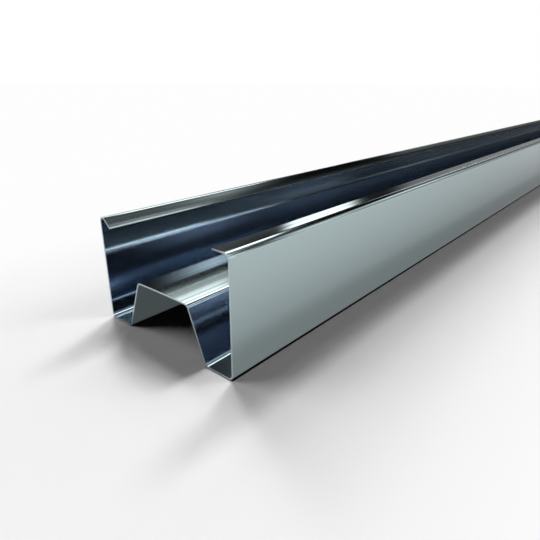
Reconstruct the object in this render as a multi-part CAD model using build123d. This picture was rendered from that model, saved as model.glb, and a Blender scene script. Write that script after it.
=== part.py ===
from build123d import *
from math import cos, radians, sin, tan
import os

# Steel stud for a partition wall: one strip of thin sheet, rolled into an open channel that lies on its web.
# X runs along the stud, Y across its web and Z up from the floor that the web's two feet rest on.
# The web rises between the feet in a wide trapezoid rib. The flange at -Y ends in a square lip, and the
# slightly lower flange at +Y in a lip that is folded past square, down into the channel.

# Stock, in millimetres
stud_length = 2500.0
stud_width = 73.8
sheet_thickness = 0.6

# Flange heights, from the floor to the top of the bend above
square_lip_flange = 46.8
folded_lip_flange = 45.2

# Lips: the square one from the flange's outer face to its edge, the folded one from its bend to its edge
square_lip = 7.8
folded_lip = 5.1
folded_lip_slope = 43.5

# Rib of the web: width between the sharp corners of its underside, and height of its crown
rib_mouth = 46.0
rib_crown = 28.9
rib_height = 22.4

# Inside radii of the bends
foot_bend = 1.7
rib_foot_bend = 1.6
rib_crown_bend = 2.0
square_lip_bend = 2.0
folded_lip_bend = 1.2


def folded_lip_ends():
    """Sharp corner above the lower flange, and the edge of its lip, both on the sheet's outer face."""
    slope = radians(folded_lip_slope)
    outer_radius = folded_lip_bend + sheet_thickness
    centre_y = stud_width / 2 - outer_radius
    centre_z = folded_lip_flange - outer_radius
    bend_end_y = centre_y - outer_radius * sin(slope)
    bend_end_z = centre_z + outer_radius * cos(slope)
    corner = (stud_width / 2, bend_end_z + (stud_width / 2 - bend_end_y) * tan(slope))
    edge = (bend_end_y - folded_lip * cos(slope), bend_end_z - folded_lip * sin(slope))
    return corner, edge


def stud_section():
    """Cross-section in Y and Z: the line of the outer face, thickened inwards by the sheet."""
    side = stud_width / 2
    crown_underside = rib_height - sheet_thickness
    folded_corner, folded_edge = folded_lip_ends()
    # Each corner of the outer face, with the radius that the bend has on that face
    corners = [
        ((-side, square_lip_flange), square_lip_bend + sheet_thickness),
        ((-side, 0), foot_bend + sheet_thickness),
        ((-rib_mouth / 2, 0), rib_foot_bend + sheet_thickness),
        ((-rib_crown / 2, crown_underside), rib_crown_bend),
        ((rib_crown / 2, crown_underside), rib_crown_bend),
        ((rib_mouth / 2, 0), rib_foot_bend + sheet_thickness),
        ((side, 0), foot_bend + sheet_thickness),
        (folded_corner, folded_lip_bend + sheet_thickness),
    ]
    square_edge = (square_lip - side, square_lip_flange)
    points = [square_edge] + [point for point, radius in corners] + [folded_edge]
    radii = [radius for point, radius in corners]
    with BuildSketch(Plane.YZ) as section:
        with BuildLine():
            FilletPolyline(*points, radius=radii)
            offset(amount=sheet_thickness, side=Side.LEFT)
        make_face()
    return section.sketch


def roll_stud():
    """The section run along the whole length, with the middle of the length at the origin."""
    return extrude(stud_section(), amount=stud_length / 2, both=True)


stud = roll_stud()
stud.label = "stud"

os.makedirs("parts", exist_ok=True)
export_step(stud, "parts/stud.step")

box = stud.bounding_box()
print(f"stud {box.size.X:.1f} x {box.size.Y:.2f} x {box.size.Z:.2f} mm, volume {stud.volume:.0f} mm3")
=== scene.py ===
# %% [markdown]
# Steel stud for a partition wall
#
# The real thing is one strip of thin galvanised steel. A row of rollers folds it, a little at every stand,
# into an open channel with a rib along its web. This lesson repeats that in Blender: a short line of edges
# is folded into the section, drawn out to the full length, given the thickness of the sheet and finished as
# bright zinc.
#
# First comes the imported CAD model. It is the frame that all the pieces here have to fit, in metres.

# %% Load the frame
from math import atan2, cos, degrees, hypot, radians, sin, tan

import bmesh
import bpy
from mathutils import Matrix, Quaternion, Vector


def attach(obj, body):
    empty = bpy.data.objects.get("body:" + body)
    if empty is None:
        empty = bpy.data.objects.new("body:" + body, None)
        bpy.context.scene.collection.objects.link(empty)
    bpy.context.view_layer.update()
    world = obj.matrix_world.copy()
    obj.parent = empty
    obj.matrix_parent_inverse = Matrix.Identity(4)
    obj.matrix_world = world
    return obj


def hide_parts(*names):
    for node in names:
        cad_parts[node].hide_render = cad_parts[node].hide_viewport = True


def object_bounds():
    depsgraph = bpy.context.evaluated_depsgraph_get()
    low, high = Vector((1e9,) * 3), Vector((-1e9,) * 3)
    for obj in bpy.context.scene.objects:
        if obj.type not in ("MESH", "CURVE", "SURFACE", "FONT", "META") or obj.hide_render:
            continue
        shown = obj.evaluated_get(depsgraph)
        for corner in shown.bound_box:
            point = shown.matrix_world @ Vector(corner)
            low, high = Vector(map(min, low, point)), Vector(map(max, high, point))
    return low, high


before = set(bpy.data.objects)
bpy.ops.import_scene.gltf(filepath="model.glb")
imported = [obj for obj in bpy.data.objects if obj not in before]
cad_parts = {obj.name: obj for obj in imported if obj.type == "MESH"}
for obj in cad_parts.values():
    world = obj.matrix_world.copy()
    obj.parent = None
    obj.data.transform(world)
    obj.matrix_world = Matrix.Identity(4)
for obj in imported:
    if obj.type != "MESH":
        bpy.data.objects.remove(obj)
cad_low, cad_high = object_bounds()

MM = 0.001
size = cad_high - cad_low
print(f"CAD box {size.x:.4f} x {size.y:.4f} x {size.z:.4f} m")

# %% [markdown]
# The camera comes before anything else, because every later choice is judged through it. It stands low
# before the cut end, a hand's width outside the near flange, and looks along the stud with a lens that is a
# little wide.

# %% Camera
CUT_END = cad_low.x
camera_place = Vector((CUT_END - 93.54 * MM, -133.19 * MM, 95.27 * MM))
camera_yaw = radians(40.47)
camera_dip = radians(21.92)
camera_roll = radians(0.24)

FILM_WIDTH, FOCAL_LENGTH = 36.0, 30.994
NEAREST, FARTHEST = 0.005, 100.0

lens = bpy.data.cameras.new("camera")
lens.sensor_width = FILM_WIDTH
lens.lens = FOCAL_LENGTH
lens.clip_start, lens.clip_end = NEAREST, FARTHEST
camera = bpy.data.objects.new("camera", lens)
bpy.context.scene.collection.objects.link(camera)
camera.location = camera_place
look = Vector((cos(camera_dip) * cos(camera_yaw), cos(camera_dip) * sin(camera_yaw), -sin(camera_dip)))
camera.rotation_mode = "QUATERNION"
camera.rotation_quaternion = look.to_track_quat("-Z", "Y") @ Quaternion((0, 0, 1), camera_roll)
bpy.context.scene.camera = camera
print(f"camera {(camera_place - Vector((CUT_END, 0, 0))).length / MM:.0f} mm from the cut end")

# %% [markdown]
# Sizes of the section. The overall length, width and height come from the frame. The rest are the sizes
# that the roller dies would be ground to: where the rib starts and ends, how long the lips are and how
# tight each bend is.
#
# Thin sheet springs back a little when it leaves the rollers. Two strips that look flat are therefore
# faintly curved: the folded lip is hollow and the crown of the rib is domed. It is far too little to
# measure with a ruler, but polished metal shows it at once, because the reflections stretch over the whole
# strip.

# %% Sizes of the section
stud_length = size.x
half_width = size.y / 2
square_lip_flange = size.z
folded_lip_flange = 45.2 * MM
sheet = 0.6 * MM
square_lip = 7.8 * MM
folded_lip = 5.1 * MM
folded_lip_slope = radians(43.5)
rib_mouth = 46.0 * MM
rib_crown = 28.9 * MM
rib_height = 22.4 * MM

# Radii of the bends on the sheet's outer face, which is the one that the floor touches
square_lip_bend = 2.0 * MM + sheet
foot_bend = 1.7 * MM + sheet
rib_foot_bend = 1.6 * MM + sheet
rib_crown_bend = 2.0 * MM
folded_lip_bend = 1.2 * MM + sheet

# How far the two curved strips turn from one border to the other
folded_lip_curl = radians(8)
crown_dome = radians(3)

print(f"flanges {square_lip_flange / MM:.1f} and {folded_lip_flange / MM:.1f} mm, sheet {sheet / MM:.1f} mm")

# %% [markdown]
# The fold line. One could type in the points of the section, or bevel the edges of a boxy channel. A bevel
# draws a bend of more than a right angle too sharp, and one lip is folded that far. So this way copies the
# machine: a single vertex is pulled along each flat and spun round each bend, and it leaves its trail of
# edges behind.

# %% Fold the section
BEND_STEPS_PER_TURN, FEWEST_STEPS = 64, 6
SAME_PLACE = 0.001 * MM
quarter = radians(90)

def heading(angle):
    """Direction in the plane of the section: 0 points along Y, a quarter turn points up."""
    return Vector((0, cos(angle), sin(angle)))

def pull(mesh, vertex, step):
    """Extrudes the last vertex of the trail in a straight line."""
    made = bmesh.ops.extrude_vert_indiv(mesh, verts=[vertex])
    bmesh.ops.translate(mesh, verts=made["verts"], vec=step)
    return made["verts"][0]

def bend(mesh, vertex, angle, radius, turn):
    """Spins the last vertex of the trail round the middle of a bend. A turn above 0 folds it to the left."""
    side = 1 if turn > 0 else -1
    middle = vertex.co + heading(angle + side * quarter) * radius
    steps = max(FEWEST_STEPS, round(BEND_STEPS_PER_TURN * abs(turn) / radians(360)))
    made = bmesh.ops.spin(mesh, geom=[vertex], cent=middle, axis=(1, 0, 0), angle=turn, steps=steps)
    return [part for part in made["geom_last"] if isinstance(part, bmesh.types.BMVert)][0]

rib_rise, rib_run = rib_height - sheet, (rib_mouth - rib_crown) / 2
rib_slope = atan2(rib_rise, rib_run)
rib_side = hypot(rib_rise, rib_run)

def trim(radius, turn):
    """Length that a bend takes off each of the two flats that meet in it."""
    return radius * tan(abs(turn) / 2)

foot_flat = half_width - rib_mouth / 2 - foot_bend - trim(rib_foot_bend, rib_slope)
rib_flat = rib_side - trim(rib_foot_bend, rib_slope) - trim(rib_crown_bend, rib_slope)
crown_flat = rib_crown - 2 * trim(rib_crown_bend, rib_slope)
crown_radius = crown_flat / 2 / sin(crown_dome / 2) + rib_crown_bend
folded_lip_hollow = folded_lip / folded_lip_curl

# Each flat, and the bend after it: length of the flat, radius of the bend, angle that it turns
folds = [
    ("square lip", square_lip - square_lip_bend, square_lip_bend, quarter),
    ("near flange", square_lip_flange - square_lip_bend - foot_bend, foot_bend, quarter),
    ("near foot", foot_flat, rib_foot_bend, rib_slope),
    ("near side of the rib", rib_flat, rib_crown_bend, crown_dome / 2 - rib_slope),
    ("crown of the rib", 0, crown_radius, -crown_dome),
    ("far shoulder of the rib", 0, rib_crown_bend, crown_dome / 2 - rib_slope),
    ("far side of the rib", rib_flat, rib_foot_bend, rib_slope),
    ("far foot", foot_flat, foot_bend, quarter),
    ("far flange", folded_lip_flange - foot_bend - folded_lip_bend, folded_lip_bend,
     quarter + folded_lip_slope - folded_lip_curl / 2),
    ("folded lip", 0, folded_lip_hollow, folded_lip_curl),
]

# What the finish needs to know later is noted on the mesh. A bmesh wants its notes opened before its first
# vertex
section = bmesh.new()
across = section.verts.layers.float.new("across")
inner_wall = section.faces.layers.float.new("inner_wall")
cut_edge = section.faces.layers.float.new("cut_edge")
lying = section.faces.layers.float.new("lying")

last = section.verts.new((CUT_END, square_lip - half_width, square_lip_flange))
angle = 2 * quarter
for name, flat, radius, turn in folds:
    if flat:
        last = pull(section, last, heading(angle) * flat)
    last = bend(section, last, angle, radius, turn)
    angle += turn
bmesh.ops.remove_doubles(section, verts=section.verts, dist=SAME_PLACE)
print(f"section of {len(section.edges)} edges")

# %% [markdown]
# The width of the strip before it was folded is the length of that trail. Each vertex notes how far along
# it lies, because the rollers drew their fine lines on the flat strip, and the finish has to follow them
# round the bends.

# %% Measure across the strip
def ahead_of(vertex, before):
    """The next vertex of the trail, or None at its end."""
    others = [edge.other_vert(vertex) for edge in vertex.link_edges]
    others = [other for other in others if other is not before]
    return others[0] if others else None

ends = [vertex for vertex in section.verts if len(vertex.link_edges) == 1]
here, before, strip_width = min(ends, key=lambda vertex: vertex.co.y), None, 0.0
while here:
    here[across] = strip_width
    ahead = ahead_of(here, before)
    if ahead:
        strip_width += (ahead.co - here.co).length
    here, before = ahead, here
print(f"strip {strip_width / MM:.1f} mm wide before it was folded")

# %% [markdown]
# The fold line is only a drawing so far. Drawing it out along X makes a skin without thickness, and
# solidify grows the sheet from it. The floor side keeps its place and the sheet grows into the channel, so
# the sizes above stay true. Then the kinds of face that the finish treats apart are marked: where the
# shears cut the sheet, the steep inner walls of the channel, and the faces that lie level.

# %% Draw it out and thicken it
skin = bmesh.ops.extrude_edge_only(section, edges=section.edges[:])
moved = [part for part in skin["geom"] if isinstance(part, bmesh.types.BMVert)]
bmesh.ops.translate(section, verts=moved, vec=(stud_length, 0, 0))
bmesh.ops.recalc_face_normals(section, faces=section.faces[:])
lowest_face = min(section.faces, key=lambda face: face.calc_center_median().z)
if lowest_face.normal.z > 0:
    bmesh.ops.reverse_faces(section, faces=section.faces[:])

floor_side = set(section.faces)
grown = bmesh.ops.solidify(section, geom=section.faces[:], thickness=sheet)
channel_side = {part for part in grown["geom"] if isinstance(part, bmesh.types.BMFace)}
cut_faces = [face for face in section.faces if face not in floor_side and face not in channel_side]

TURNED_FROM, TURNED_TO = 0.5, 0.8

def turned_to(part_of_normal):
    """1 where a face looks along an axis, 0 where it looks across it, and a straight slope between them."""
    share = (abs(part_of_normal) - TURNED_FROM) / (TURNED_TO - TURNED_FROM)
    return min(1.0, max(0.0, share))

for face in channel_side:
    face[inner_wall] = turned_to(face.normal.y)
for face in floor_side | channel_side:
    face[lying] = turned_to(face.normal.z)
for face in cut_faces:
    face[cut_edge] = 1.0
print(f"{len(floor_side)} faces outside, {len(channel_side)} inside, {len(cut_faces)} along the cuts")

# %% [markdown]
# A cut is never a perfect corner. Shears leave it a few hundredths of a millimetre round, and that is what
# catches the light as a bright line round the end. A small bevel along every cut does it. Shading is smooth
# so that the bends look round, and a Weighted Normal modifier lets the large flats keep their own
# direction, because a mirror shows even a hair of tilt that the bends would lend them.

# %% Ease the cuts
CUT_ROUND, CUT_STEPS = 0.06 * MM, 2
cuts = {edge for face in cut_faces for edge in face.edges}
cuts = [edge for edge in cuts if sum(face[cut_edge] for face in edge.link_faces) < 2]
eased = bmesh.ops.bevel(section, geom=cuts, offset=CUT_ROUND, segments=CUT_STEPS, profile=0.5,
                        affect="EDGES", material=-1, clamp_overlap=True)
for face in eased["faces"]:
    face[cut_edge] = 1.0
bmesh.ops.remove_doubles(section, verts=section.verts, dist=SAME_PLACE / 2)
bmesh.ops.recalc_face_normals(section, faces=section.faces[:])

stud_mesh = bpy.data.meshes.new("rolled_stud")
section.to_mesh(stud_mesh)
section.free()
stud_mesh.shade_smooth()
stud = bpy.data.objects.new("rolled_stud", stud_mesh)
bpy.context.scene.collection.objects.link(stud)
flats = stud.modifiers.new("flats_stay_flat", "WEIGHTED_NORMAL")
flats.mode = "FACE_AREA"
flats.weight = 100
flats.thresh = 0.0

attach(stud, "root")
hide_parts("stud")
low = Vector(min(vertex.co[axis] for vertex in stud_mesh.vertices) for axis in range(3))
high = Vector(max(vertex.co[axis] for vertex in stud_mesh.vertices) for axis in range(3))
print(f"{len(stud_mesh.polygons)} faces, {(high.x - low.x) / MM:.2f} x {(high.y - low.y) / MM:.2f} x "
      f"{(high.z - low.z) / MM:.2f} mm")

# %% [markdown]
# Shader nodes can be wired by hand, but a formula is easier to read. This small class wraps the output of a
# node. Sums, differences and products of such values add the Math nodes that work them out, and one method
# adds every other kind of node.

# %% Nodes as formulas
class Value:
    """The output of a node, which can be used in a formula."""

    def __init__(self, tree, output=None):
        self.tree = tree
        self.output = output

    def node(self, kind, settings=None, inputs=None, output=0):
        """Adds a node: first its settings, then the values or links of its sockets. Gives one output."""
        made = self.tree.nodes.new(kind)
        for name, setting in (settings or {}).items():
            setattr(made, name, setting)
        for name, value in (inputs or {}).items():
            if isinstance(value, Value):
                self.tree.links.new(value.output, made.inputs[name])
            else:
                made.inputs[name].default_value = value
        return Value(self.tree, made.outputs[output])

    def part(self, output):
        """Another output of the same node."""
        return Value(self.tree, self.output.node.outputs[output])

    def maths(self, operation, *terms):
        """A Math node on numbers or values."""
        return self.node("ShaderNodeMath", {"operation": operation}, dict(enumerate(terms)))

    def __add__(self, other):
        return self.maths("ADD", self, other)

    def __sub__(self, other):
        return self.maths("SUBTRACT", self, other)

    def __rsub__(self, other):
        return self.maths("SUBTRACT", other, self)

    def __mul__(self, other):
        return self.maths("MULTIPLY", self, other)

    __radd__ = __add__
    __rmul__ = __mul__

    def between(self, low, high, fade):
        """1 from low to high, 0 outside, with borders that fade over twice the width of fade."""
        off_centre = self.maths("ABSOLUTE", self - (low + high) / 2)
        half = (high - low) / 2
        return self.node("ShaderNodeMapRange", {"interpolation_type": "SMOOTHSTEP"},
                         {"Value": off_centre, "From Min": half - fade, "From Max": half + fade,
                          "To Min": 1.0, "To Max": 0.0})

    def mix_colours(self, share, first, second):
        """A colour between two colours: share 0 gives the first and 1 the second."""
        return self.node("ShaderNodeMix", {"data_type": "RGBA"}, {0: share, 6: first, 7: second}, output=2)

def finish_nodes(material, shader):
    """Sends a shader to the surface of a material."""
    output = material.node_tree.nodes.new("ShaderNodeOutputMaterial")
    material.node_tree.links.new(shader.output, output.inputs["Surface"])

# %% [markdown]
# Galvanised steel is a mirror with a faint grey-green cast, a little less sharp than chrome. Five things
# keep it from looking like glass: a haze that comes and goes, faint pale bands, fine lines and dull streaks
# where the strip lay on the rollers, and the paler, coarser metal of the cuts. A picture of scratched metal
# could be laid over the mesh. Noise is better here, because it has no seams and stays sharp. It is
# stretched along X and runs on the coordinate across the strip, so that it follows every bend. The walls
# inside the channel get a bluer tint, a painted reflection colour that makes what they mirror look bluer.
# The ridges and streaks keep to the level faces, which are the ones that the rollers pressed hardest.

# %% Galvanised sheet
OUTER_ZINC = (0.39, 0.475, 0.485, 1)
# Inner walls: the same zinc with a bluer tint, a painted reflection colour
INNER_WALL_PAINTED_BLUE = (0.368, 0.43, 0.51, 1)
WORN_ZINC = (0.19, 0.225, 0.225, 1)
CUT_STEEL = (0.46, 0.52, 0.54, 1)

zinc = bpy.data.materials.new("galvanised_sheet")
zinc.use_nodes = True
zinc.node_tree.nodes.clear()
metal = Value(zinc.node_tree)

def noted(name):
    """What was noted on the mesh under a name."""
    return metal.node("ShaderNodeAttribute", {"attribute_name": name}, output="Fac")

on_stud = metal.node("ShaderNodeTexCoord", output="Object")
along = metal.node("ShaderNodeSeparateXYZ", inputs={"Vector": on_stud})
strip = noted("across")

def rolled_noise(along_scale, across_scale, detail):
    """Noise on the strip as it was before the folding, with so many features a metre along and across."""
    place = metal.node("ShaderNodeCombineXYZ", inputs={"X": along * along_scale, "Y": strip * across_scale})
    return metal.node("ShaderNodeTexNoise", inputs={"Vector": place, "Scale": 1.0, "Detail": detail})

lines = rolled_noise(4.0, 1500.0, 3.0)
bands = rolled_noise(1.5, 160.0, 2.0)
haze = rolled_noise(3.0, 60.0, 3.0)
STREAKS_ABOVE, STREAK_FADE = 0.53, 0.08
streaks = 1 - rolled_noise(1.2, 1100.0, 2.0).between(-1.0, STREAKS_ABOVE, STREAK_FADE)
cut, flat_lying = noted("cut_edge"), noted("lying")

# How much of each mark shows in the colour, and how rough the polish, the marks and the cuts are
BANDS_SHOW, STREAKS_SHOW = 0.12, 0.6
POLISH, HAZE_ROUGH, STREAK_ROUGH, CUT_ROUGH = 0.09, 0.015, 0.02, 0.25
RIDGE_STRENGTH, RIDGE_HEIGHT = 0.09, 0.01 * MM
EDGE_ON_TINT = (0.7, 0.7, 0.7, 1)

worn = streaks * flat_lying
# The inner walls take the painted bluer reflection tint
tone = metal.mix_colours(noted("inner_wall"), OUTER_ZINC, INNER_WALL_PAINTED_BLUE)
tone = metal.mix_colours(bands * BANDS_SHOW, tone, CUT_STEEL)
tone = metal.mix_colours(worn * STREAKS_SHOW, tone, WORN_ZINC)
tone = metal.mix_colours(cut, tone, CUT_STEEL)
bump = metal.node("ShaderNodeBump", inputs={
    "Strength": RIDGE_STRENGTH,
    "Distance": RIDGE_HEIGHT,
    "Height": lines * flat_lying,
})
surface = metal.node("ShaderNodeBsdfPrincipled", inputs={
    "Base Color": tone,
    "Metallic": 1.0,
    "Roughness": POLISH + haze * HAZE_ROUGH + worn * STREAK_ROUGH + cut * CUT_ROUGH,
    "Specular Tint": EDGE_ON_TINT,
    "Normal": bump,
})
finish_nodes(zinc, surface)
stud_mesh.materials.append(zinc)
print(f"galvanised sheet with {len(zinc.node_tree.nodes)} nodes")

# %% [markdown]
# The floor is one sheet of white paper without any gloss. Near the stud it is lit by the lamps alone, so it
# keeps every shadow. Further away it turns into the plain white of the backdrop, for the camera and for the
# metal alike. A renderer needs very many rays to find the last bit of dark where steel touches paper, so a
# thin line there is simply painted black. Under the rib and beside the feet the paper also glows a little for
# the metal alone: painted light that shows the shadow there paler in the reflections than the camera sees it.

# %% Floor
FLOOR_REACH = 20.0
floor_mesh = bpy.data.meshes.new("floor")
paper = bmesh.new()
bmesh.ops.create_grid(paper, x_segments=1, y_segments=1, size=FLOOR_REACH)
paper.to_mesh(floor_mesh)
paper.free()
floor = bpy.data.objects.new("floor", floor_mesh)
bpy.context.scene.collection.objects.link(floor)

white = bpy.data.materials.new("white_paper")
white.use_nodes = True
white.node_tree.nodes.clear()
paint = Value(white.node_tree)
on_floor = paint.node("ShaderNodeTexCoord", output="Object")
place = paint.node("ShaderNodeSeparateXYZ", inputs={"Vector": on_floor})
across_floor = place.part("Y")
in_picture = paint.node("ShaderNodeLightPath", output="Is Camera Ray")
in_metal = in_picture.part("Is Glossy Ray")
in_glass = in_picture.part("Is Transmission Ray")

# Round the stud the paper keeps every shadow. Far from it the paper turns into the white of the backdrop
NEAR_REACH, FAR_FADE = 115.0 * MM, 55.0 * MM
WHITE_OUT = 0.85
round_stud = across_floor.between(-NEAR_REACH, NEAR_REACH, FAR_FADE)
round_stud = round_stud * place.between(CUT_END - NEAR_REACH, NEAR_REACH - CUT_END, FAR_FADE)
backdrop_share = (in_picture + in_metal + in_glass) * (1 - round_stud) * WHITE_OUT

# How strongly the paper under the rib and beside the feet glows for the metal alone: painted light in the
# reflections
PAINTED_GLOW_UNDER_RIB, PAINTED_GLOW_BESIDE_FEET, LIFT_FADE = 0.15, 0.32, 1.0 * MM
lift_edge = half_width - foot_bend - LIFT_FADE
under_rib = across_floor.between(-rib_mouth / 2, rib_mouth / 2, LIFT_FADE)
beside = 1 - across_floor.between(-lift_edge, lift_edge, LIFT_FADE)
painted_glow_in_metal = in_metal * (under_rib * PAINTED_GLOW_UNDER_RIB + beside * PAINTED_GLOW_BESIDE_FEET)

# No light gets in under the feet and their bends. The metal would mirror the line too thick, so it doesn't
# see it
CONTACT_EDGE, CONTACT_FADE = half_width - 0.15 * MM, 0.3 * MM
under_stud = across_floor.between(-CONTACT_EDGE, CONTACT_EDGE, CONTACT_FADE)
under_feet = under_stud * (1 - under_rib) * place.between(CUT_END, -CUT_END, CONTACT_FADE)
contact = under_feet * (1 - in_metal)

PAPER = (0.95, 0.95, 0.95, 1)
flat_paint = paint.node("ShaderNodeBsdfDiffuse", inputs={"Color": PAPER})
glow = paint.node("ShaderNodeEmission", inputs={"Strength": 1.0})
dark = paint.node("ShaderNodeEmission", inputs={"Strength": 0.0})
# The painted glow for the metal and the white of the backdrop share one emission
share = paint.maths("MAXIMUM", backdrop_share, painted_glow_in_metal)
lit = paint.node("ShaderNodeMixShader", inputs={0: share, 1: flat_paint, 2: glow})
finish_nodes(white, paint.node("ShaderNodeMixShader", inputs={0: contact, 1: lit, 2: dark}))
floor_mesh.materials.append(white)

# %% [markdown]
# The studio. Polished metal shows nothing but its surroundings, so the lamps make most of its look. Area
# lamps would do, but each of them would have to be aimed. All of these are long soft boxes that hang
# parallel to the stud, and two angles say where such a box is: how far its direction leans away from the
# stud's own length, and how far round the stud it has turned, from 0 at the far side over 90 straight above
# to 180 at the near side. They are painted on the world, far away, so every part of the stud sees the same
# ones, and no lamp can get into the picture.

# %% Studio
world = bpy.data.worlds.new("studio")
world.use_nodes = True
world.node_tree.nodes.clear()
bpy.context.scene.world = world
air = Value(world.node_tree)

ray = air.node("ShaderNodeSeparateXYZ", inputs={"Vector": air.node("ShaderNodeTexCoord", output="Generated")})
TO_DEGREES = degrees(1)
lean = air.maths("ARCCOSINE", ray) * TO_DEGREES
turn = air.maths("ARCTAN2", ray.part("Z"), ray.part("Y")) * TO_DEGREES
rise = air.maths("ARCSINE", ray.part("Z")) * TO_DEGREES
in_picture = air.node("ShaderNodeLightPath", output="Is Camera Ray")
in_metal = in_picture.part("Is Glossy Ray")

# The metal sees the same studio at both ends of the stud, so that it looks as good from its other end
SQUARE = 90.0
folded_lean = SQUARE - air.maths("ABSOLUTE", lean - SQUARE)
lean = lean + (folded_lean - lean) * in_metal

# Each one: lean from and to, turn from and to, how soft its ends and its sides are, and its strength
lamps = {
    "key": (63.4, 72.5, 27.5, 70.3, 1.2, 1.3, 9.83),
    "key foot": (50.4, 78.3, 33.3, 41.6, 2.4, 1.8, 3.60),
    "key base": (60.4, 78.2, 34.5, 45.5, 1.7, 1.7, 1.20),
    "key middle": (49.8, 69.9, 49.5, 56.7, 0.9, 0.8, 2.58),
    "key top": (42.8, 59.5, 64.1, 74.0, 0.9, 0.9, 15.60),
    "key far top": (43.6, 59.6, 64.0, 80.3, 1.4, 0.9, 7.12),
    "overhead": (46.7, 48.5, 57.4, 96.2, 8.2, 18.0, 2.00),
    "lip spot": (33.0, 41.2, 25.0, 28.3, 1.2, 6.0, 6.50),
    "lip glow": (46.0, 66.0, 94.0, 110.0, 4.0, 3.0, 0.15),
    "crown glow": (48.0, 66.0, 28.5, 34.0, 3.0, 1.5, 0.45),
    "low strip": (41.2, 68.0, 20.3, 22.5, 1.0, 2.7, 1.06),
    "low wash": (5.3, 47.9, -11.0, 6.4, 1.8, 17.9, 2.09),
    "end box": (16.3, 29.3, 40.7, 47.3, 5.3, 2.2, 4.93),
    "end wash": (-3.1, 26.9, 15.5, 100.4, 1.8, 9.5, 0.35),
    "back box": (97.9, 129.9, 36.9, 61.9, 0.8, 0.9, 2.81),
}
cards = {
    "near key": (50.7, 67.7, 112.1, 139.5, 0.9, 0.9, 4.98),
    "near strip": (50.9, 62.3, 119.0, 127.8, 3.2, 11.9, 10.23),
    "near side": (65.1, 74.5, 131.5, 142.4, 1.7, 1.7, 1.22),
    "near back": (122.2, 130.0, 137.0, 155.9, 1.7, 1.7, 0.40),
    "near wash": (9.7, 43.5, 123.6, 154.3, 1.6, 17.8, 1.03),
    "near end": (21.7, 30.3, 116.2, 130.3, 2.9, 2.0, 1.59),
    "near end low": (34.1, 40.8, 149.5, 156.7, 1.8, 1.7, 1.27),
    "near foot": (2.3, 45.8, 163.6, 181.6, 1.5, 0.9, 0.98),
    "streak": (49.5, 52.6, 151.0, 156.0, 6.2, 2.5, 7.20),
    "low streak": (46.8, 56.2, 160.3, 171.6, 5.2, 2.6, 2.88),
}
washes = {
    "side wash": (76.0, 104.0, 12.0, 168.0, 5.0, 12.0, 0.55),
}
DARK_ROOM = 0.004

def add_up(boxes):
    """The light of all the soft boxes of a table."""
    light = lean * 0.0
    for lean_from, lean_to, turn_from, turn_to, soft_ends, soft_sides, strength in boxes.values():
        box = lean.between(lean_from, lean_to, soft_ends) * turn.between(turn_from, turn_to, soft_sides)
        light = light + box * strength
    return light

# The cards on the near side are there for the metal. Flags keep nearly half of their light off the paper,
# and the lamps make up for it. Light that the paper gathers comes to it by none of the three kinds of ray
# here. The wash is for the metal alone: it fills the side views, where all the lamps are out of its sight
PAPER_GAIN, FLAGS = 0.13, 0.45
on_paper = 1 - in_picture - in_metal - in_picture.part("Is Transmission Ray")
light = add_up(lamps) * (on_paper * PAPER_GAIN + 1) + add_up(cards) * (1 - on_paper * FLAGS)
light = light + add_up(washes) * in_metal + DARK_ROOM

# The picture shows white all round, and the metal a low white wall. Neither of them lights anything
WALL_FOOT, WALL_TOP, WALL_FADE = -180.0, 2.5, 1.5
white_all_round = in_picture + in_metal * rise.between(WALL_FOOT, WALL_TOP, WALL_FADE)
light = light * (1 - white_all_round) + white_all_round
backdrop = air.node("ShaderNodeBackground", inputs={"Color": (1, 1, 1, 1), "Strength": light})
sky = world.node_tree.nodes.new("ShaderNodeOutputWorld")
world.node_tree.links.new(backdrop.output, sky.inputs["Surface"])

bpy.context.scene.view_settings.view_transform = "Standard"
print(f"{len(lamps)} lamps, {len(cards)} cards and {len(washes)} wash, "
      f"in {len(world.node_tree.nodes)} nodes of the world")

# %% [markdown]
# Some settings of the ray tracer keep the picture clean. Light that the metal throws back on the paper
# comes out as a cloud of bright specks, and it hardly shows, so it is left out. A thin bend can mirror a
# strong lamp in one sample out of ten, which looks like beads on a string. A limit on how bright one sample
# may be, straight from a lamp or by way of several mirrors, makes an even line of it. Last, the rays can be
# spread so evenly that their error looks like fine orange peel, which the noise filter takes for the skin
# of the metal and keeps. Spread in the older, more random way, the same number of rays leaves a clean wall.

# %% Clean rays
BRIGHTEST_SAMPLE = 1.6
bpy.context.scene.cycles.caustics_reflective = False
bpy.context.scene.cycles.sample_clamp_direct = BRIGHTEST_SAMPLE
bpy.context.scene.cycles.sample_clamp_indirect = BRIGHTEST_SAMPLE
bpy.context.scene.cycles.sampling_pattern = "TABULATED_SOBOL"
print(f"one sample is at most {BRIGHTEST_SAMPLE} bright")
